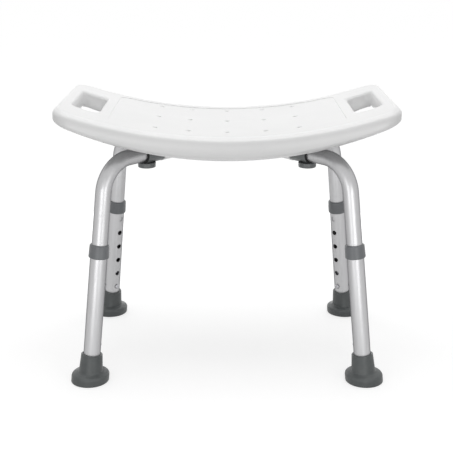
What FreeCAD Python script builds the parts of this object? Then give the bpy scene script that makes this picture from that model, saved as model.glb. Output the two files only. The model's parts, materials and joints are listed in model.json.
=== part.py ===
import FreeCAD, Part
import math
import os

from FreeCAD import Placement, Rotation, Vector

# Shower stool with a curved moulded seat on four bent tube legs that lengthen.
# Millimetres. The origin is on the floor below the middle of the seat: X runs along
# the seat, Y from its front edge to its rear edge, and Z up.

# Seat
SEAT_LENGTH = 498.0
SEAT_DEPTH = 252.0
SEAT_TOP_MID = 370.5        # height of the sitting surface at its lowest point
SEAT_TOP_RADIUS = 740.0     # curve of the sitting surface, seen from the front
SEAT_RIM_MID = 335.0        # height of the underside at its lowest point
SEAT_RIM_RADIUS = 590.0
SEAT_CORNER = 28.0          # corner radius in plan
SEAT_TOP_ROUNDING = 10.0
SEAT_RIM_ROUNDING = 6.0
SKIN = 3.0                  # wall thickness of the hollow seat, top and bottom
EDGE_WALL = 6.5             # wall thickness around the edge

# Hand-holds, drain holes and sunk panel
SLOT_FROM_MIDDLE = 208.5
SLOT_WIDTH = 38.0
SLOT_LENGTH = 130.0
SLOT_CORNER = 12.0
SLOT_TOP_ROUNDING = 5.0
SLOT_RIM_ROUNDING = 3.0
DRAIN_RADIUS = 3.3
DRAIN_MOUTH = 1.0           # how much wider a drain hole is at its mouth
DRAIN_COLUMNS = (-104.0, -56.0, 0.0, 56.0, 104.0)
DRAIN_ROWS = (-84.0, 0.0, 84.0)
PANEL_LENGTH = 344.0
PANEL_DEPTH = 204.0
PANEL_CORNER = 16.0
PANEL_SUNK = 0.8

# Legs
FOOT_X = 207.0              # foot centre from the middle of the stool
FOOT_Y = 136.0
LEAN_X = 0.0973             # inward lean of a leg for each millimetre of height
LEAN_Y = 0.0813
TUBE_WALL = 1.0
OUTER_TUBE_RADIUS = 12.7    # one inch tube
INNER_TUBE_RADIUS = 11.6
BEND_RADIUS = 50.0
ARM_HEIGHT = 330.0
ARM_HEADING = math.radians(47.9)    # plan direction of an arm, from X towards the middle
ARM_LENGTH = 128.0          # from the corner of the bend to the inner end
INNER_TUBE_START = 38.0     # along the leg, from the floor
OUTER_TUBE_START = 14.0
OUTER_TUBE_END = 207.0
FIT = 0.03                  # gap between pieces that are pressed together
SLIDE_FIT = 0.1             # radial play of the telescoping tubes

# Snap buttons
HOLE_PITCH = 25.4
HOLE_COUNT = 6
HOLE_LOWEST = 54.5
HOLE_RADIUS = 4.1
BUTTON_RADIUS = 3.8
BUTTON_TIP = 15.4           # from the tube's axis
BUTTON_FLANGE_RADIUS = 5.0
BUTTON_FLANGE = (8.0, 9.0)  # inner and outer face, from the tube's axis
LEAF_WIDTH = 8.0
LEAF_THICKNESS = 0.6
LEAF_REACH = 26.0           # from the button up to the start of the leaf's bend
SIGHT_HOLE_RADIUS = 3.4     # shows that the upper tube is in far enough
SIGHT_HOLE_TURN = 112.0     # degrees round the tube from the row of button holes

# Collars and feet
COLLAR_START = 191.2
COLLAR_END = 211.7
COLLAR_RADIUS = (15.3, 14.5)        # at the bottom and at the top
COLLAR_ROUNDING = 2.2
FOOT_RADIUS = 28.4
FOOT_BASE_RADIUS = 26.0
FOOT_WIDEST = 5.0           # height at which the flange is widest
FOOT_DOME = 16.0            # height at which the flange meets the stem
FOOT_STEM_END = 42.3
FOOT_STEM_RADIUS = (17.6, 16.0)     # at the bottom and at the top
WASHER_THICKNESS = 2.0

# Clamps, knobs and what holds them, measured along an arm from the corner of its bend
KNOB_STATION = 81.4
SEAL_THICKNESS = 2.2
CLAMP_START = 74.2
CLAMP_END = 107.5
CLAMP_RADIUS = 14.5
CLAMP_TOP = 345.0
CLAMP_PAD_WIDTH = 20.0
CLAMP_PAD_LENGTH = 16.0
SOCKET_END = 133.0
SOCKET_RADIUS = 15.2
KNOB_RADIUS = 13.5
KNOB_BOTTOM = 309.5
KNOB_TOP = 317.0
STUD_RADIUS = 3.0
STUD_TOP = 358.0
STUD_HEAD_RADIUS = 6.0
INSERT_RADIUS = 4.6
INSERT_LENGTH = 11.0
THREAD_PLAY = 0.05

LEGS = {
    "front_left": (-1, -1),
    "front_right": (1, -1),
    "rear_left": (-1, 1),
    "rear_right": (1, 1),
}
UP = Vector(0, 0, 1)


def save(name, shape):
    shape.exportStep("parts/" + name + ".step")
    print(name, "valid", shape.isValid(), "cm3", round(shape.Volume / 1000, 2))


def placed(shape, frame):
    moved = shape.copy()
    moved.Placement = frame.multiply(moved.Placement)
    return moved


def pillar(radius, bottom, top, x=0.0, y=0.0):
    return Part.makeCylinder(radius, top - bottom, Vector(x, y, bottom))


def sleeve(outer, inner, start, end):
    return pillar(outer, start, end).cut(pillar(inner, start - 1, end + 1))


def turned(points):
    """A solid turned about Z from its half outline of (radius, height) points."""
    corners = [Vector(radius, 0, height) for radius, height in points]
    outline = Part.makePolygon(corners + corners[:1])
    return Part.Face(outline).revolve(Vector(0, 0, 0), UP, 360)


# Places on a leg

def leg_direction(leg):
    side, end = LEGS[leg]
    return Vector(-side * LEAN_X, -end * LEAN_Y, 1).normalize()


def arm_direction(leg):
    side, end = LEGS[leg]
    return Vector(-side * math.cos(ARM_HEADING), -end * math.sin(ARM_HEADING), 0)


def foot_centre(leg):
    side, end = LEGS[leg]
    return Vector(side * FOOT_X, end * FOOT_Y, 0)


def leg_frame(leg):
    """Z up the leg from the floor, X towards the side that the arm bends to."""
    up = leg_direction(leg)
    across = up.cross(arm_direction(leg)).normalize()
    return Placement(foot_centre(leg), Rotation(across.cross(up), across, up, "ZXY"))


def arm_corner(leg):
    up = leg_direction(leg)
    return foot_centre(leg) + up * (ARM_HEIGHT / up.z)


def arm_frame(leg):
    """Z along the arm from the corner of the bend, X up."""
    along = arm_direction(leg)
    return Placement(arm_corner(leg), Rotation(UP, along.cross(UP), along, "ZXY"))


def knob_centre(leg):
    return arm_corner(leg) + arm_direction(leg) * KNOB_STATION


def knob_pillar(leg, radius, bottom, top):
    centre = knob_centre(leg)
    return pillar(radius, bottom, top, centre.x, centre.y)


# Seat

def rounded_prism(length, depth, corner, bottom, top, x=0.0):
    prism = Part.makeBox(length, depth, top - bottom, Vector(x - length / 2, -depth / 2, bottom))
    upright = [edge for edge in prism.Edges if abs(edge.tangentAt(edge.FirstParameter).z) > 0.99]
    return prism.makeFillet(corner, upright)


def between_curves(rim_offset, top_offset):
    """The space between the two curves of the seat, each moved inwards by its offset."""
    half = SEAT_LENGTH / 2 + 10
    depth = SEAT_DEPTH + 20
    top = Vector(0, 0, SEAT_TOP_MID + SEAT_TOP_RADIUS)
    rim = Vector(0, 0, SEAT_RIM_MID + SEAT_RIM_RADIUS)
    top_radius = SEAT_TOP_RADIUS + top_offset
    rim_radius = SEAT_RIM_RADIUS - rim_offset
    top_end = Vector(half, 0, top.z - math.sqrt(top_radius ** 2 - half ** 2))
    rim_end = Vector(half, 0, rim.z - math.sqrt(rim_radius ** 2 - half ** 2))
    top_left = Vector(-half, 0, top_end.z)
    rim_left = Vector(-half, 0, rim_end.z)
    edges = [
        Part.Arc(top_left, Vector(0, 0, top.z - top_radius), top_end).toShape(),
        Part.LineSegment(top_end, rim_end).toShape(),
        Part.Arc(rim_end, Vector(0, 0, rim.z - rim_radius), rim_left).toShape(),
        Part.LineSegment(rim_left, top_left).toShape(),
    ]
    face = Part.Face(Part.Wire(edges))
    face.translate(Vector(0, -depth / 2, 0))
    return face.extrude(Vector(0, depth, 0))


def top_height(x):
    return SEAT_TOP_MID + SEAT_TOP_RADIUS - math.sqrt(SEAT_TOP_RADIUS ** 2 - x ** 2)


def rim_height(x):
    return SEAT_RIM_MID + SEAT_RIM_RADIUS - math.sqrt(SEAT_RIM_RADIUS ** 2 - x ** 2)


def edge_lies_on(edge, height):
    """True when the whole edge follows one of the two curves."""
    for parameter in (0.1, 0.5, 0.9):
        span = edge.LastParameter - edge.FirstParameter
        point = edge.valueAt(edge.FirstParameter + parameter * span)
        if abs(point.z - height(point.x)) > 0.05:
            return False
    return True


def round_edges(solid, height, radius, outside):
    """Rounds the edges of the outline, or of the hand-holds, on one of the curves."""
    chosen = []
    slot_reach = (SLOT_WIDTH + SLOT_LENGTH) / 2
    for edge in solid.Edges:
        box = edge.BoundBox
        in_slot = box.YLength < SLOT_LENGTH and abs(box.Center.y) < SLOT_LENGTH / 2 + 1
        in_slot = in_slot and abs(abs(box.Center.x) - SLOT_FROM_MIDDLE) < slot_reach / 3
        if edge_lies_on(edge, height) and in_slot != outside:
            chosen.append(edge)
    return solid.makeFillet(radius, chosen)


def slot_prism(side, growth):
    return rounded_prism(
        SLOT_WIDTH + 2 * growth,
        SLOT_LENGTH + 2 * growth,
        SLOT_CORNER + growth,
        SEAT_RIM_MID - 20,
        SEAT_TOP_MID + 80,
        side * SLOT_FROM_MIDDLE,
    )


def seat_outside():
    body = rounded_prism(
        SEAT_LENGTH, SEAT_DEPTH, SEAT_CORNER, SEAT_RIM_MID - 20, SEAT_TOP_MID + 80
    )
    body = body.common(between_curves(0, 0))
    body = round_edges(body, top_height, SEAT_TOP_ROUNDING, True)
    body = round_edges(body, rim_height, SEAT_RIM_ROUNDING, True)
    for side in (-1, 1):
        body = body.cut(slot_prism(side, 0))
    body = round_edges(body, top_height, SLOT_TOP_ROUNDING, False)
    return round_edges(body, rim_height, SLOT_RIM_ROUNDING, False)


def sunk_panel():
    """The thin slice that is taken off the sitting surface inside the panel's border."""
    slice_of_top = between_curves(0, -10).cut(between_curves(-60, PANEL_SUNK))
    prism = rounded_prism(
        PANEL_LENGTH, PANEL_DEPTH, PANEL_CORNER, SEAT_TOP_MID - 20, SEAT_TOP_MID + 80
    )
    return prism.common(slice_of_top)


def drain_holes():
    holes = []
    for x in DRAIN_COLUMNS:
        for y in DRAIN_ROWS:
            surface = top_height(x) - PANEL_SUNK
            holes.append(pillar(DRAIN_RADIUS, SEAT_RIM_MID - 10, surface + 10, x, y))
            mouth = Part.makeCone(
                DRAIN_RADIUS,
                DRAIN_RADIUS + 2 * DRAIN_MOUTH,
                2 * DRAIN_MOUTH,
                Vector(x, y, surface - DRAIN_MOUTH),
            )
            holes.append(mouth)
    return holes


def seat_hollow():
    """The sealed space inside the seat, around the columns, walls and bosses."""
    hollow = rounded_prism(
        SEAT_LENGTH - 2 * EDGE_WALL,
        SEAT_DEPTH - 2 * EDGE_WALL,
        SEAT_CORNER - EDGE_WALL,
        SEAT_RIM_MID - 20,
        SEAT_TOP_MID + 80,
    )
    hollow = hollow.common(between_curves(SKIN, SKIN + PANEL_SUNK))
    columns = [
        pillar(DRAIN_RADIUS + 2.5, SEAT_RIM_MID - 20, SEAT_TOP_MID + 40, x, y)
        for x in DRAIN_COLUMNS
        for y in DRAIN_ROWS
    ]
    walls = [slot_prism(side, EDGE_WALL) for side in (-1, 1)]
    bosses = [knob_pillar(leg, 10.0, SEAT_RIM_MID, SEAT_TOP_MID + 40) for leg in LEGS]
    channels = [
        placed(pillar(SOCKET_RADIUS + 1 + SKIN, 40, SOCKET_END + 8), arm_frame(leg))
        for leg in LEGS
    ]
    return hollow.cut(columns + walls + bosses + channels)


def arm_sockets():
    """Moulded cups under the seat that take the inner ends of the arms."""
    cups = []
    for leg in LEGS:
        cup = pillar(SOCKET_RADIUS, CLAMP_END + 1, SOCKET_END)
        web = Part.makeBox(
            18, 12, SOCKET_END - CLAMP_END - 1, Vector(0, -6, CLAMP_END + 1)
        )
        cups.append(placed(cup.fuse(web), arm_frame(leg)))
    return cups


def knob_pads():
    """Flat faces under the seat that the clamps are drawn up against."""
    return [knob_pillar(leg, 11.0, CLAMP_TOP, SEAT_RIM_MID + 20) for leg in LEGS]


def arm_recesses():
    """What is cut out under the seat for the arms, the clamps and the inserts."""
    cuts = []
    for leg in LEGS:
        bore = pillar(INNER_TUBE_RADIUS + SLIDE_FIT, 0, ARM_LENGTH + 2.5)
        room = pillar(CLAMP_RADIUS + 0.6, 0, CLAMP_END + 1)
        cuts.append(placed(bore.fuse(room), arm_frame(leg)))
        insert_top = CLAMP_TOP + INSERT_LENGTH
        cuts.append(knob_pillar(leg, INSERT_RADIUS + FIT, CLAMP_TOP - 30, insert_top))
        cuts.append(knob_pillar(leg, STUD_RADIUS + 0.6, CLAMP_TOP, STUD_TOP + 4))
    return cuts


def make_seat():
    seat = seat_outside()
    seat = seat.cut([sunk_panel()])
    seat = seat.fuse(arm_sockets() + knob_pads())
    seat = seat.cut(seat_hollow())
    return seat.cut(arm_recesses() + drain_holes())


# Legs

def button_holes(count):
    return [
        Part.makeCylinder(
            HOLE_RADIUS, 20, Vector(0, 0, HOLE_LOWEST + step * HOLE_PITCH), Vector(1, 0, 0)
        )
        for step in range(count)
    ]


def make_upper_tube(leg):
    turn = arm_direction(leg).getAngle(leg_direction(leg))
    corner = ARM_HEIGHT / leg_direction(leg).z
    setback = BEND_RADIUS * math.tan(turn / 2)
    pieces = []
    for radius in (INNER_TUBE_RADIUS, INNER_TUBE_RADIUS - TUBE_WALL):
        bend_start = Vector(0, 0, corner - setback)
        along = Vector(math.sin(turn), 0, math.cos(turn))
        bend_end = Vector(0, 0, corner) + along * setback
        straight = pillar(radius, INNER_TUBE_START, bend_start.z)
        section = Part.Face(Part.Wire(Part.makeCircle(radius, bend_start, UP)))
        pivot = bend_start + Vector(BEND_RADIUS, 0, 0)
        bend = section.revolve(pivot, Vector(0, 1, 0), math.degrees(turn))
        arm = Part.makeCylinder(radius, ARM_LENGTH - setback, bend_end, along)
        pieces.append(straight.fuse([bend, arm]).removeSplitter())
    tube = pieces[0].cut(pieces[1]).cut(button_holes(HOLE_COUNT - 1))
    tube = placed(tube, leg_frame(leg))
    return tube.cut(knob_pillar(leg, STUD_RADIUS + 0.6, ARM_HEIGHT - 30, ARM_HEIGHT + 30))


def make_lower_tube(leg):
    tube = sleeve(
        OUTER_TUBE_RADIUS, OUTER_TUBE_RADIUS - TUBE_WALL, OUTER_TUBE_START, OUTER_TUBE_END
    )
    side, end = LEGS[leg]
    sight = Part.makeCylinder(SIGHT_HOLE_RADIUS, 20, Vector(0, 0, HOLE_LOWEST), Vector(1, 0, 0))
    sight.rotate(Vector(0, 0, 0), UP, side * end * SIGHT_HOLE_TURN)
    return placed(tube.cut(button_holes(HOLE_COUNT) + [sight]), leg_frame(leg))


def make_collar(leg):
    low, high = COLLAR_RADIUS
    collar = Part.makeCone(low, high, COLLAR_END - COLLAR_START, Vector(0, 0, COLLAR_START))
    collar = collar.makeFillet(COLLAR_ROUNDING, [edge for edge in collar.Edges if edge.Closed])
    collar = collar.cut(pillar(OUTER_TUBE_RADIUS + FIT, COLLAR_START - 1, OUTER_TUBE_END))
    collar = collar.cut(pillar(INNER_TUBE_RADIUS + SLIDE_FIT, COLLAR_START, COLLAR_END + 1))
    return placed(collar, leg_frame(leg))


def make_foot(leg):
    """Rubber foot: a wide domed flange on the floor, and a stem along the leaning tube."""
    dome_radius = FOOT_STEM_RADIUS[0] - 0.5
    base = Vector(FOOT_BASE_RADIUS, 0, 0)
    widest = Vector(FOOT_RADIUS, 0, FOOT_WIDEST)
    shoulder = Vector(FOOT_RADIUS, 0, FOOT_WIDEST + 2)
    crest = Vector(dome_radius, 0, FOOT_DOME)
    edges = [
        Part.LineSegment(Vector(0, 0, 0), base).toShape(),
        Part.Arc(base, Vector(FOOT_RADIUS - 0.6, 0, FOOT_WIDEST / 2), widest).toShape(),
        Part.LineSegment(widest, shoulder).toShape(),
        Part.Arc(shoulder, Vector(FOOT_RADIUS - 3.6, 0, FOOT_DOME - 3.4), crest).toShape(),
        Part.LineSegment(crest, Vector(0, 0, FOOT_DOME)).toShape(),
        Part.LineSegment(Vector(0, 0, FOOT_DOME), Vector(0, 0, 0)).toShape(),
    ]
    flange = Part.Face(Part.Wire(edges)).revolve(Vector(0, 0, 0), UP, 360)
    flange.translate(foot_centre(leg))
    stem = turned([
        (0, 3),
        (FOOT_STEM_RADIUS[0], 3),
        (FOOT_STEM_RADIUS[1], FOOT_STEM_END - 1.5),
        (FOOT_STEM_RADIUS[1] - 1.2, FOOT_STEM_END),
        (0, FOOT_STEM_END),
    ])
    foot = flange.fuse(placed(stem, leg_frame(leg)))
    cup = pillar(OUTER_TUBE_RADIUS + FIT, OUTER_TUBE_START - WASHER_THICKNESS, 60)
    return foot.cut(placed(cup, leg_frame(leg)))


def make_foot_washer(leg):
    washer = sleeve(
        OUTER_TUBE_RADIUS - 0.2, 5.0, OUTER_TUBE_START - WASHER_THICKNESS, OUTER_TUBE_START
    )
    return placed(washer, leg_frame(leg))


def make_snap_button(leg):
    inner, outer = BUTTON_FLANGE
    button = turned([
        (0, inner),
        (BUTTON_FLANGE_RADIUS, inner),
        (BUTTON_FLANGE_RADIUS, outer),
        (BUTTON_RADIUS, outer),
        (BUTTON_RADIUS, BUTTON_TIP),
        (0, BUTTON_TIP),
    ])
    tip = [edge for edge in button.Edges if edge.Closed and edge.BoundBox.ZMin > BUTTON_TIP - 0.01]
    button = button.makeFillet(1.8, tip)
    sideways = Placement(Vector(0, 0, HOLE_LOWEST), Rotation(Vector(0, 1, 0), 90))
    return placed(placed(button, sideways), leg_frame(leg))


def make_leaf_spring(leg):
    """A flat strip bent over like a hairpin inside the upper tube, behind the button."""
    front = BUTTON_FLANGE[0]
    back = -9.6
    low = HOLE_LOWEST - BUTTON_FLANGE_RADIUS
    high = HOLE_LOWEST + LEAF_REACH
    bend_middle = (front + back) / 2
    strips = []
    for inset in (0.0, LEAF_THICKNESS):
        radius = (front - back) / 2 - inset
        corner = Vector(bend_middle - radius, -LEAF_WIDTH / 2, low - inset)
        block = Part.makeBox(2 * radius, LEAF_WIDTH, high - low + inset, corner)
        cap = Part.makeCylinder(
            radius, LEAF_WIDTH, Vector(bend_middle, -LEAF_WIDTH / 2, high), Vector(0, 1, 0)
        )
        strips.append(block.fuse(cap))
    return placed(strips[0].cut(strips[1]), leg_frame(leg))


# Under the seat

def make_seal_ring(leg):
    ring = pillar(CLAMP_RADIUS - 0.2, CLAMP_START - SEAL_THICKNESS, CLAMP_START)
    ring = ring.makeFillet(0.7, [edge for edge in ring.Edges if edge.Closed])
    ring = placed(ring.cut(pillar(INNER_TUBE_RADIUS + FIT, 0, ARM_LENGTH)), arm_frame(leg))
    return ring.cut(knob_pillar(leg, KNOB_RADIUS + 0.4, KNOB_BOTTOM, KNOB_TOP))


def make_clamp(leg):
    body = pillar(CLAMP_RADIUS, CLAMP_START, CLAMP_END)
    body = body.makeFillet(0.8, [edge for edge in body.Edges if edge.Closed])
    rise = CLAMP_TOP - ARM_HEIGHT
    corner = Vector(0, -CLAMP_PAD_WIDTH / 2, CLAMP_START + 0.4)
    pad = Part.makeBox(rise, CLAMP_PAD_WIDTH, CLAMP_PAD_LENGTH, corner)
    body = body.fuse(pad)
    body = body.cut(pillar(INNER_TUBE_RADIUS + SLIDE_FIT, 0, ARM_LENGTH))
    body = placed(body, arm_frame(leg))
    flat = knob_pillar(leg, KNOB_RADIUS + 0.4, KNOB_BOTTOM, KNOB_TOP)
    hole = knob_pillar(leg, STUD_RADIUS + 0.6, KNOB_BOTTOM, CLAMP_TOP + 1)
    return body.cut([flat, hole])


def make_knob(leg):
    knob = pillar(KNOB_RADIUS, KNOB_BOTTOM, KNOB_TOP)
    low = [edge for edge in knob.Edges if edge.Closed and edge.BoundBox.ZMax < KNOB_BOTTOM + 0.1]
    knob = knob.makeFillet(1.4, low)
    centre = knob_centre(leg)
    knob.translate(Vector(centre.x, centre.y, 0))
    head = knob_pillar(leg, STUD_HEAD_RADIUS + FIT, KNOB_BOTTOM + 2, KNOB_BOTTOM + 5)
    shank = knob_pillar(leg, STUD_RADIUS + FIT, KNOB_BOTTOM + 2, KNOB_TOP + 1)
    return knob.cut([head, shank])


def make_knob_stud(leg):
    head = knob_pillar(leg, STUD_HEAD_RADIUS, KNOB_BOTTOM + 2, KNOB_BOTTOM + 5)
    return head.fuse(knob_pillar(leg, STUD_RADIUS, KNOB_BOTTOM + 2, STUD_TOP))


def make_threaded_inserts():
    inserts = []
    for leg in LEGS:
        body = knob_pillar(leg, INSERT_RADIUS, CLAMP_TOP, CLAMP_TOP + INSERT_LENGTH)
        bore = knob_pillar(leg, STUD_RADIUS + THREAD_PLAY, CLAMP_TOP - 1, STUD_TOP)
        inserts.append(body.cut(bore))
    return Part.makeCompound(inserts)


def make_arm_plug(leg):
    inside = INNER_TUBE_RADIUS - TUBE_WALL - FIT
    plug = pillar(INNER_TUBE_RADIUS, ARM_LENGTH, ARM_LENGTH + 2)
    return placed(plug.fuse(pillar(inside, ARM_LENGTH - 9, ARM_LENGTH)), arm_frame(leg))


LEG_PIECES = {
    "upper_tube": make_upper_tube,
    "lower_tube": make_lower_tube,
    "collar": make_collar,
    "foot": make_foot,
    "foot_washer": make_foot_washer,
    "snap_button": make_snap_button,
    "leaf_spring": make_leaf_spring,
    "seal_ring": make_seal_ring,
    "clamp": make_clamp,
    "knob": make_knob,
    "knob_stud": make_knob_stud,
    "arm_plug": make_arm_plug,
}

os.makedirs("parts", exist_ok=True)
save("seat", make_seat())
save("threaded_inserts", make_threaded_inserts())
for piece, make in LEG_PIECES.items():
    for leg in LEGS:
        save(piece + "_" + leg, make(leg))
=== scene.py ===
import json
import math

import bpy
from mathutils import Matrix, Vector

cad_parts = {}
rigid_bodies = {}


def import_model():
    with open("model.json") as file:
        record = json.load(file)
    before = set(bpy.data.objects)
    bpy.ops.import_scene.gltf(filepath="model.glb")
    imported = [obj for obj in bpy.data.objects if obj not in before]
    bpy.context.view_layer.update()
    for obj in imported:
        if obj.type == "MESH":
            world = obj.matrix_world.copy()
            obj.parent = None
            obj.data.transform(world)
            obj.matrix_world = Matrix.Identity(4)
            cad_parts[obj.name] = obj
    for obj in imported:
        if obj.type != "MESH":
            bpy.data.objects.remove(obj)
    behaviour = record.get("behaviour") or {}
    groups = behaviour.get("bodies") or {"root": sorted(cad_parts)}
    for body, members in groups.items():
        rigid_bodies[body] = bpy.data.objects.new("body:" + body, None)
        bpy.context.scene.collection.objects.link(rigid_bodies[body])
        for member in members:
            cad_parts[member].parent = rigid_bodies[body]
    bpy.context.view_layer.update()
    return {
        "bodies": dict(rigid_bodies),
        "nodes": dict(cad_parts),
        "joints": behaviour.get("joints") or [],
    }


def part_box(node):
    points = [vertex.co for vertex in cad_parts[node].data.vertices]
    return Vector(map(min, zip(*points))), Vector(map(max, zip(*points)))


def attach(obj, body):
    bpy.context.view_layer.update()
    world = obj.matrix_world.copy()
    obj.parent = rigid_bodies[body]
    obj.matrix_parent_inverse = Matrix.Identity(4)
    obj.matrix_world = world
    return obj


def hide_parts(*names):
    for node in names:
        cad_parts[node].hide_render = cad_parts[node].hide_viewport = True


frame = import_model()
print("frame loaded:", len(frame["nodes"]), "nodes")


def deselectAll():
    for item in list(bpy.context.selected_objects):
        item.select_set(False)


deselectAll()


# View from the front and slightly above
viewFrom = {
    "place": (0.0, -1.4516, 0.6516),
    "tiltDown": math.radians(17.24),
    "lens": 76.2,
    "sensor": 36.0,
    "shiftX": -0.0013,
    "shiftY": -0.0012,
    "nearest": 0.02,
}


def addCamera():
    cameraData = bpy.data.cameras.new("camera")
    cameraData.sensor_width = viewFrom["sensor"]
    cameraData.lens = viewFrom["lens"]
    cameraData.shift_x = viewFrom["shiftX"]
    cameraData.shift_y = viewFrom["shiftY"]
    cameraData.clip_start = viewFrom["nearest"]
    camera = bpy.data.objects.new("camera", cameraData)
    bpy.context.scene.collection.objects.link(camera)
    camera.location = viewFrom["place"]
    camera.rotation_euler = (math.pi / 2 - viewFrom["tiltDown"], 0, 0)
    bpy.context.scene.camera = camera


addCamera()


# Node helpers for the finishes

def newMaterial(name):
    material = bpy.data.materials.new(name)
    material.use_nodes = True
    return material


def addNode(material, kind, **settings):
    node = material.node_tree.nodes.new(kind)
    for setting, value in settings.items():
        setattr(node, setting, value)
    return node


def wire(material, source, target):
    material.node_tree.links.new(source, target)


def shaderOf(material):
    return material.node_tree.nodes["Principled BSDF"]


def placeOnPiece(material, scale=(1, 1, 1), turn=(0, 0, 0)):
    coordinates = addNode(material, "ShaderNodeTexCoord")
    mapping = addNode(material, "ShaderNodeMapping")
    mapping.inputs["Rotation"].default_value = turn
    mapping.inputs["Scale"].default_value = scale
    wire(material, coordinates.outputs["Object"], mapping.inputs["Vector"])
    return mapping.outputs["Vector"]


def noisePattern(material, place, scale, detail=2.0, roughness=0.5):
    noise = addNode(material, "ShaderNodeTexNoise")
    noise.inputs["Scale"].default_value = scale
    noise.inputs["Detail"].default_value = detail
    noise.inputs["Roughness"].default_value = roughness
    wire(material, place, noise.inputs["Vector"])
    return noise.outputs["Fac"]


# Noise stays mostly between 0.3 and 0.7, so that part is stretched over the full range
def spread(material, value, low, high, fromLow=0.3, fromHigh=0.7):
    ranges = addNode(material, "ShaderNodeMapRange")
    ranges.inputs["From Min"].default_value = fromLow
    ranges.inputs["From Max"].default_value = fromHigh
    ranges.inputs["To Min"].default_value = low
    ranges.inputs["To Max"].default_value = high
    wire(material, value, ranges.inputs["Value"])
    return ranges.outputs["Result"]


def twoColours(material, factor, first, second):
    mix = addNode(material, "ShaderNodeMix", data_type="RGBA")
    mix.inputs[6].default_value = (*first, 1)
    mix.inputs[7].default_value = (*second, 1)
    wire(material, factor, mix.inputs[0])
    return mix.outputs[2]


def addBump(material, height, strength, distance, under=None):
    bump = addNode(material, "ShaderNodeBump")
    bump.inputs["Strength"].default_value = strength
    bump.inputs["Distance"].default_value = distance
    wire(material, height, bump.inputs["Height"])
    if under:
        wire(material, under, bump.inputs["Normal"])
    return bump.outputs["Normal"]


# White moulded polyethylene
seatPlastic = {
    "colour": (0.895, 0.895, 0.893),
    "shade": (0.862, 0.863, 0.862),
    "glossLow": 0.30,
    "glossHigh": 0.38,
    "refraction": 1.5,
    "cloudScale": 9,
    "glossScale": 40,
    "rippleScale": 55,
    "rippleStrength": 0.05,
    "rippleHeight": 0.002,
    "grainScale": 1400,
    "grainStrength": 0.06,
    "grainHeight": 0.0004,
    "curveCentre": (0, 0, 1.1105),
    "curveRadius": 0.740,
    "edgeFrom": 0.003,
    "edgeTo": 0.031,
    "edgeCrown": 0.0040,
}


# A bump that makes the seat's flat edge catch the light as a crowned one would
def edgeCrown(material, place):
    away = addNode(material, "ShaderNodeVectorMath", operation="SUBTRACT")
    away.inputs[1].default_value = seatPlastic["curveCentre"]
    wire(material, place, away.inputs[0])
    sideView = addNode(material, "ShaderNodeVectorMath", operation="MULTIPLY")
    sideView.inputs[1].default_value = (1, 0, 1)
    wire(material, away.outputs["Vector"], sideView.inputs[0])
    distance = addNode(material, "ShaderNodeVectorMath", operation="LENGTH")
    wire(material, sideView.outputs["Vector"], distance.inputs[0])
    start = seatPlastic["curveRadius"] + seatPlastic["edgeFrom"]
    stop = seatPlastic["curveRadius"] + seatPlastic["edgeTo"]
    across = spread(material, distance.outputs["Value"], -1, 1, start, stop)
    square = addNode(material, "ShaderNodeMath", operation="MULTIPLY")
    wire(material, across, square.inputs[0])
    wire(material, across, square.inputs[1])
    return spread(material, square.outputs["Value"], 1, 0, 0, 1)


def whitePlastic():
    look = seatPlastic
    material = newMaterial("whitePlastic")
    place = placeOnPiece(material)
    shader = shaderOf(material)
    cloud = spread(material, noisePattern(material, place, look["cloudScale"], 3), 0, 1)
    colour = twoColours(material, cloud, look["colour"], look["shade"])
    wire(material, colour, shader.inputs["Base Color"])
    gloss = noisePattern(material, place, look["glossScale"], 3)
    rough = spread(material, gloss, look["glossLow"], look["glossHigh"])
    wire(material, rough, shader.inputs["Roughness"])
    ripple = noisePattern(material, place, look["rippleScale"], 1)
    grain = noisePattern(material, place, look["grainScale"], 2)
    crowned = addBump(material, edgeCrown(material, place), 1, look["edgeCrown"])
    wavy = addBump(material, ripple, look["rippleStrength"], look["rippleHeight"], crowned)
    grained = addBump(material, grain, look["grainStrength"], look["grainHeight"], wavy)
    wire(material, grained, shader.inputs["Normal"])
    shader.inputs["IOR"].default_value = look["refraction"]
    return material


# Satin anodised tube, with faint drawn lines along it
tubeMetal = {
    "colour": (0.525, 0.525, 0.532),
    "shade": (0.485, 0.485, 0.492),
    # near-black edge tint: painted shade on the tube's grazing edges, standing in for darker surroundings
    # in the reflection
    "edge": (0.04, 0.04, 0.045),
    "glossLow": 0.37,
    "glossHigh": 0.45,
    "linesScale": 420,
    "linesStretch": 0.01,
    "cloudScale": 24,
    "lean": (0.0813, 0.0973),  # of a leg, about X and about Y
}


def satinAluminium(name, turn):
    look = tubeMetal
    material = newMaterial(name)
    shader = shaderOf(material)
    shader.inputs["Metallic"].default_value = 1.0
    # the edge tint paints shade into the reflection along the tube's grazing edges
    shader.inputs["Specular Tint"].default_value = (*look["edge"], 1)
    along = placeOnPiece(material, (1, 1, look["linesStretch"]), turn)
    place = placeOnPiece(material)
    lines = spread(material, noisePattern(material, along, look["linesScale"], 3), 0, 1)
    cloud = noisePattern(material, place, look["cloudScale"], 3)
    colour = twoColours(material, lines, look["colour"], look["shade"])
    wire(material, colour, shader.inputs["Base Color"])
    rough = spread(material, cloud, look["glossLow"], look["glossHigh"])
    wire(material, rough, shader.inputs["Roughness"])
    return material


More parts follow.
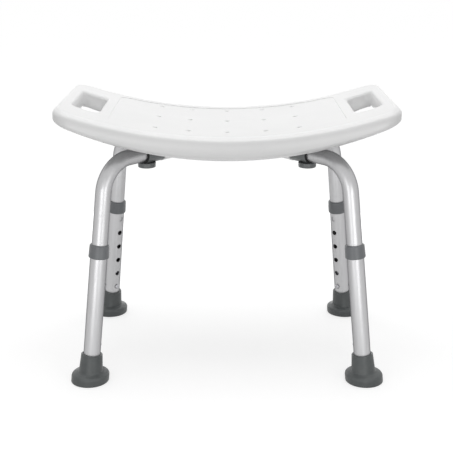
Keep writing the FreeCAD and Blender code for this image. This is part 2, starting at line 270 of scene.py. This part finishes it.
# Small parts: a cloudy colour, uneven gloss and a fine grain
smallParts = {
    "cloudScale": 70,
    "wornScale": 160,
    "unevenGloss": 0.06,
    "grainHeight": 0.0003,
    "collar": {
        "material": "collarPlastic",
        "colour": (0.176, 0.184, 0.192),
        "shade": (0.150, 0.157, 0.165),
        "rough": 0.40,
        "grainScale": 1500,
        "grainStrength": 0.12,
    },
    # knob and clamp colours are painted darker than the collar's: painted shade from under the seat
    "knob": {
        "material": "knobPlasticPaintedShade",
        "colour": (0.142, 0.150, 0.152),
        "shade": (0.120, 0.128, 0.130),
        "rough": 0.42,
        "grainScale": 1300,
        "grainStrength": 0.12,
    },
    "foot": {
        "material": "footRubber",
        "colour": (0.090, 0.098, 0.098),
        "shade": (0.072, 0.079, 0.080),
        "rough": 0.46,
        "grainScale": 1100,
        "grainStrength": 0.16,
    },
    "seal_ring": {
        "material": "blackRubber",
        "colour": (0.010, 0.010, 0.011),
        "shade": (0.016, 0.016, 0.017),
        "rough": 0.45,
        "grainScale": 1200,
        "grainStrength": 0.1,
        "specular": 0.2,
    },
    "arm_plug": {
        "material": "blackPlastic",
        "colour": (0.020, 0.020, 0.021),
        "shade": (0.03, 0.03, 0.03),
        "rough": 0.5,
        "grainScale": 1200,
        "grainStrength": 0.1,
    },
    "threaded_inserts": {
        "material": "brass",
        "colour": (0.60, 0.43, 0.17),
        "shade": (0.50, 0.36, 0.14),
        "rough": 0.35,
        "grainScale": 900,
        "grainStrength": 0.05,
        "metallic": 1.0,
    },
    "snap_button": {
        "material": "springSteel",
        "colour": (0.46, 0.46, 0.48),
        "shade": (0.38, 0.38, 0.40),
        "rough": 0.32,
        "grainScale": 900,
        "grainStrength": 0.05,
        "metallic": 1.0,
    },
}


def smallPartMaterial(part):
    look = smallParts[part]
    material = newMaterial(look["material"])
    shader = shaderOf(material)
    place = placeOnPiece(material)
    cloud = spread(material, noisePattern(material, place, smallParts["cloudScale"], 4), 0, 1)
    colour = twoColours(material, cloud, look["colour"], look["shade"])
    wire(material, colour, shader.inputs["Base Color"])
    worn = noisePattern(material, place, smallParts["wornScale"], 3)
    uneven = smallParts["unevenGloss"]
    rough = spread(material, worn, look["rough"] - uneven, look["rough"] + uneven)
    wire(material, rough, shader.inputs["Roughness"])
    grain = noisePattern(material, place, look["grainScale"], 2)
    grained = addBump(material, grain, look["grainStrength"], smallParts["grainHeight"])
    wire(material, grained, shader.inputs["Normal"])
    if "metallic" in look:
        shader.inputs["Metallic"].default_value = look["metallic"]
    if "specular" in look:
        shader.inputs["Specular IOR Level"].default_value = look["specular"]
    return material


# Which side and which end of the seat each leg stands at
legSigns = {
    "front_left": (-1, -1),
    "front_right": (1, -1),
    "rear_left": (-1, 1),
    "rear_right": (1, 1),
}
finishes = {"seat": whitePlastic()}
for part in ("collar", "knob", "foot", "seal_ring", "arm_plug", "threaded_inserts", "snap_button"):
    finishes[part] = smallPartMaterial(part)
# the clamp shares the knob's darker colour, painted shade from under the seat
finishes["clamp"] = finishes["knob"]
for part in ("knob_stud", "foot_washer", "leaf_spring"):
    finishes[part] = finishes["snap_button"]
for leg, (side, end) in legSigns.items():
    aboutX, aboutY = tubeMetal["lean"]
    metal = satinAluminium("aluminium_" + leg, (end * aboutX, -side * aboutY, 0))
    finishes["upper_tube_" + leg] = metal
    finishes["lower_tube_" + leg] = metal


def finishFor(nodeName):
    if nodeName in finishes:
        return finishes[nodeName]
    for leg in legSigns:
        if nodeName.endswith("_" + leg):
            return finishes[nodeName[: -len(leg) - 1]]
    return finishes["seat"]


def paint(piece, material):
    piece.data.materials.clear()
    piece.data.materials.append(material)


for nodeName, node in frame["nodes"].items():
    paint(node, finishFor(nodeName))
print("finishes on the construction nodes")


# Round pieces: a circle is extruded from ring to ring along an outline
smoothBelow = math.radians(38)


def nextRing(before, after):
    centre, radius, turn = before
    nextCentre, nextRadius, nextTurn = after
    growth = nextRadius / radius
    bpy.ops.mesh.extrude_edges_indiv()
    bpy.ops.transform.resize(value=(growth, growth, growth), center_override=centre)
    for axis in range(2):
        angle = nextTurn[axis] - turn[axis]
        if abs(angle) > 1e-6:  # with no window open this operator turns the other way round
            bpy.ops.transform.rotate(value=-angle, orient_axis="XY"[axis], center_override=centre)
    bpy.ops.transform.translate(value=nextCentre - centre)


def addRings(name, rings, sides):
    deselectAll()
    centre, radius, turn = rings[0]
    bpy.ops.mesh.primitive_circle_add(vertices=sides, radius=radius, location=centre, rotation=turn)
    piece = bpy.context.object
    piece.name = name
    bpy.ops.object.transform_apply(location=True, rotation=True, scale=True)
    bpy.ops.object.mode_set(mode="EDIT")
    bpy.ops.mesh.select_mode(type="EDGE")
    bpy.ops.mesh.select_all(action="SELECT")
    for before, after in zip(rings, rings[1:]):
        nextRing(before, after)
    bpy.ops.mesh.edge_face_add()
    bpy.ops.object.mode_set(mode="OBJECT")
    for part in (piece.data.polygons, piece.data.edges, piece.data.vertices):
        for item in part:
            item.select = False
    for edge in piece.data.edges:
        edge.select = max(edge.vertices) < sides
    bpy.ops.object.mode_set(mode="EDIT")
    bpy.ops.mesh.edge_face_add()
    bpy.ops.mesh.select_all(action="SELECT")
    bpy.ops.mesh.normals_make_consistent(inside=False)
    bpy.ops.object.mode_set(mode="OBJECT")
    bpy.ops.object.shade_smooth_by_angle(angle=smoothBelow)
    return piece


def roundOff(middle, radius, fromAngle, toAngle, steps=5):
    points = []
    for step in range(steps + 1):
        angle = math.radians(fromAngle + (toAngle - fromAngle) * step / steps)
        across, up = radius * math.cos(angle), radius * math.sin(angle)
        points.append((middle[0] + across, middle[1] + up))
    return points


# Rubber foot: a round flange with a domed top, a leaning stem, and rings of tread beneath
footShape = {
    "sides": 96,
    "wall": 0.0284,
    "baseRound": 0.0012,
    "shoulder": 0.0133,
    "shoulderRound": 0.0045,
    "shoulderTurn": 78,
    "domeTop": (0.0191, 0.0148),
    "crease": (0.0183, 0.0152),
    "stemFoot": (0.0178, 0.0162),
    "stemTop": 0.0160,
    "stemEnd": 0.0423,
    "leanOver": 0.004,  # height over which the rings tip from level to square with the leg
    "lipRound": 0.0011,
    "lipFrom": 5,
    "lipInnerRound": 0.0006,
    "bore": 0.01273,
    "boreFloor": 0.0140,
    "treadDepth": 0.0014,
    "treadRings": (0.0225, 0.0165, 0.0105, 0.0045),
    "treadWidth": 0.0014,
}


def footOutline():
    shape = footShape
    outline = []
    for radius in reversed(shape["treadRings"]):
        half = shape["treadWidth"] / 2
        outline += [(radius - half, 0), (radius - half, shape["treadDepth"])]
        outline += [(radius + half, shape["treadDepth"]), (radius + half, 0)]
    inset = shape["wall"] - shape["baseRound"]
    outline += roundOff((inset, shape["baseRound"]), shape["baseRound"], -90, 0)
    inset = shape["wall"] - shape["shoulderRound"]
    drop = shape["shoulder"] - shape["shoulderRound"]
    outline += roundOff((inset, drop), shape["shoulderRound"], 0, shape["shoulderTurn"], 8)
    outline += [shape["domeTop"], shape["crease"], shape["stemFoot"]]
    inset = shape["stemTop"] - shape["lipRound"]
    drop = shape["stemEnd"] - shape["lipRound"]
    outline += roundOff((inset, drop), shape["lipRound"], shape["lipFrom"], 90)
    inner = shape["lipInnerRound"]
    outline += roundOff((shape["bore"] + inner, shape["stemEnd"] - inner), inner, 90, 180, 3)
    outline += [(shape["bore"], shape["boreFloor"])]
    return outline


def legUpwards(leg):
    for joint in frame["joints"]:
        if joint["name"] == "leg_length_" + leg:
            return -Vector(joint["axis"]).normalized()


def addFoot(leg):
    low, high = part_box("foot_" + leg)
    floorPoint = Vector(((low[0] + high[0]) / 2, (low[1] + high[1]) / 2, 0))
    upwards = legUpwards(leg)
    turn = Vector((-math.asin(upwards.y), math.atan2(upwards.x, upwards.z), 0))
    rings = []
    for radius, height in footOutline():
        lean = min(max((height - footShape["domeTop"][1]) / footShape["leanOver"], 0), 1)
        alongLeg = height / upwards.z ** (1 - lean)
        rings.append((floorPoint + upwards * alongLeg, radius, turn * lean))
    foot = addRings("rubberFoot_" + leg, rings, footShape["sides"])
    paint(foot, finishes["foot"])
    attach(foot, "leg_" + leg)
    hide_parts("foot_" + leg)


for leg in legSigns:
    addFoot(leg)
print("rubber feet")


# Hand knob: a smooth disc with a dished underside and a small boss in the dish
knobShape = {
    "sides": 72,
    "edgeRound": 0.0016,
    "topRound": 0.0007,
    "rim": 0.0105,
    "rimRound": 0.0006,
    "rimFrom": 200,
    "dishDepth": 0.0016,
    "dishInset": 0.0016,
    "dishRound": 0.0008,
    "boss": 0.0036,
    "bossHeight": 0.0009,
    "bossEdge": (0.0005, 0.0004),
    "studHole": 0.0031,
}


def knobOutline(radius, bottom, top):
    shape = knobShape
    dish = bottom + shape["dishDepth"]
    bossEnd = dish - shape["bossHeight"]
    edgeIn, edgeUp = shape["bossEdge"]
    outline = [(shape["boss"] - edgeIn, bossEnd), (shape["boss"], bossEnd + edgeUp), (shape["boss"], dish)]
    dishEdge = (shape["rim"] - shape["dishInset"], dish - shape["dishRound"])
    outline += roundOff(dishEdge, shape["dishRound"], 90, 0, 4)
    rimEdge = (shape["rim"], bottom + shape["rimRound"])
    outline += roundOff(rimEdge, shape["rimRound"], shape["rimFrom"], 270, 3)
    inset = radius - shape["edgeRound"]
    outline += roundOff((inset, bottom + shape["edgeRound"]), shape["edgeRound"], -90, 0)
    inset = radius - shape["topRound"]
    outline += roundOff((inset, top - shape["topRound"]), shape["topRound"], 0, 90, 4)
    outline += [(shape["studHole"], top)]
    return outline


def addKnob(leg):
    low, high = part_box("knob_" + leg)
    middle = (low + high) / 2
    upright = Vector((0, 0, 0))
    outline = knobOutline((high[0] - low[0]) / 2, low[2], high[2])
    rings = [(Vector((middle[0], middle[1], height)), radius, upright) for radius, height in outline]
    knob = addRings("handKnob_" + leg, rings, knobShape["sides"])
    paint(knob, finishes["knob"])
    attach(knob, "hand_knob_" + leg)
    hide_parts("knob_" + leg)


for leg in legSigns:
    addKnob(leg)
print("hand knobs")


# Studio: pale floor that stays white around the soft shadow, and soft lights
studio = {
    "floorSize": 40.0,
    "floorGap": 0.0002,
    "floorColour": (0.45, 0.45, 0.45),
    "floorRoughness": 0.8,
    "glowNear": 0.655,
    "glowFar": 0.80,
    "glowStart": 0.35,
    "glowReach": 1.6,
    "backgroundStrength": 1.0,
    "worldStrength": 0.44,
    "aim": (0, 0, 0.22),
    "overhead": {"place": (0.0, 0.1, 1.9), "size": (1.5, 1.2), "power": 15.2},
    "frontLeft": {"place": (-0.31, -0.78, 0.20), "size": (0.36, 0.36), "power": 1.0},
    "frontRight": {"place": (0.31, -0.78, 0.20), "size": (0.36, 0.36), "power": 1.0},
    "backLeft": {"place": (-0.31, 0.78, 0.20), "size": (0.36, 0.36), "power": 0.9},
    "backRight": {"place": (0.31, 0.78, 0.20), "size": (0.36, 0.36), "power": 0.9},
}


# 1 for rays that see or mirror the background, which looks brighter than the light it gives
def backgroundRays(tree):
    path = tree.nodes.new("ShaderNodeLightPath")
    seen = path.outputs["Is Camera Ray"]
    for kind in ("Is Glossy Ray", "Is Transmission Ray"):
        either = tree.nodes.new("ShaderNodeMath")
        either.operation = "MAXIMUM"
        tree.links.new(seen, either.inputs[0])
        tree.links.new(path.outputs[kind], either.inputs[1])
        seen = either.outputs["Value"]
    return seen


def floorPaint():
    material = newMaterial("floorPaint")
    shader = shaderOf(material)
    shader.inputs["Base Color"].default_value = (*studio["floorColour"], 1)
    shader.inputs["Roughness"].default_value = studio["floorRoughness"]
    shader.inputs["Specular IOR Level"].default_value = 0.0
    glow = addNode(material, "ShaderNodeEmission")
    share = addNode(material, "ShaderNodeMath", operation="MULTIPLY")
    outwards = addNode(material, "ShaderNodeVectorMath", operation="LENGTH")
    wire(material, placeOnPiece(material), outwards.inputs[0])
    near, far = studio["glowNear"], studio["glowFar"]
    start, reach = studio["glowStart"], studio["glowReach"]
    glowing = spread(material, outwards.outputs["Value"], near, far, start, reach)
    wire(material, backgroundRays(material.node_tree), share.inputs[0])
    wire(material, glowing, share.inputs[1])
    wire(material, share.outputs["Value"], glow.inputs["Strength"])
    lit = addNode(material, "ShaderNodeAddShader")
    wire(material, shader.outputs["BSDF"], lit.inputs[0])
    wire(material, glow.outputs["Emission"], lit.inputs[1])
    side = addNode(material, "ShaderNodeNewGeometry")  # clear from below
    clear = addNode(material, "ShaderNodeBsdfTransparent")
    faced = addNode(material, "ShaderNodeMixShader")
    wire(material, side.outputs["Backfacing"], faced.inputs["Fac"])
    wire(material, lit.outputs["Shader"], faced.inputs[1])
    wire(material, clear.outputs["BSDF"], faced.inputs[2])
    output = material.node_tree.nodes["Material Output"]
    wire(material, faced.outputs["Shader"], output.inputs["Surface"])
    return material


def addFloor():
    deselectAll()
    bpy.ops.mesh.primitive_plane_add(size=studio["floorSize"], location=(0, 0, -studio["floorGap"]))
    floor = bpy.context.object
    floor.name = "studioFloor"
    paint(floor, floorPaint())
    for leg in legSigns:  # the floor stays under whichever leg is drawn out
        legBody = frame["bodies"]["leg_" + leg]
        under = floor.constraints.new("FLOOR")
        under.target = legBody
        under.floor_location = "FLOOR_NEGATIVE_Z"
        under.offset = -legBody.matrix_world.translation.z - studio["floorGap"]


def addSoftLight(name):
    settings = studio[name]
    lamp = bpy.data.lights.new(name, "AREA")
    lamp.shape = "RECTANGLE"
    lamp.size, lamp.size_y = settings["size"]
    lamp.energy = settings["power"]
    light = bpy.data.objects.new(name, lamp)
    bpy.context.scene.collection.objects.link(light)
    light.location = settings["place"]
    light.visible_camera = False
    aim = Vector(studio["aim"]) - light.location
    light.rotation_euler = aim.to_track_quat("-Z", "Y").to_euler()


def addWorld():
    world = bpy.data.worlds.new("studio")
    world.use_nodes = True
    bpy.context.scene.world = world
    tree = world.node_tree
    plain = tree.nodes["Background"]
    plain.inputs["Color"].default_value = (1, 1, 1, 1)
    plain.inputs["Strength"].default_value = studio["worldStrength"]
    white = tree.nodes.new("ShaderNodeBackground")
    white.inputs["Color"].default_value = (1, 1, 1, 1)
    white.inputs["Strength"].default_value = studio["backgroundStrength"]
    mix = tree.nodes.new("ShaderNodeMixShader")
    tree.links.new(backgroundRays(tree), mix.inputs["Fac"])
    tree.links.new(plain.outputs["Background"], mix.inputs[1])
    tree.links.new(white.outputs["Background"], mix.inputs[2])
    tree.links.new(mix.outputs["Shader"], tree.nodes["World Output"].inputs["Surface"])


addFloor()
for lightName in ("overhead", "frontLeft", "frontRight", "backLeft", "backRight"):
    addSoftLight(lightName)
addWorld()
bpy.context.scene.view_settings.view_transform = "Standard"
print("studio ready")
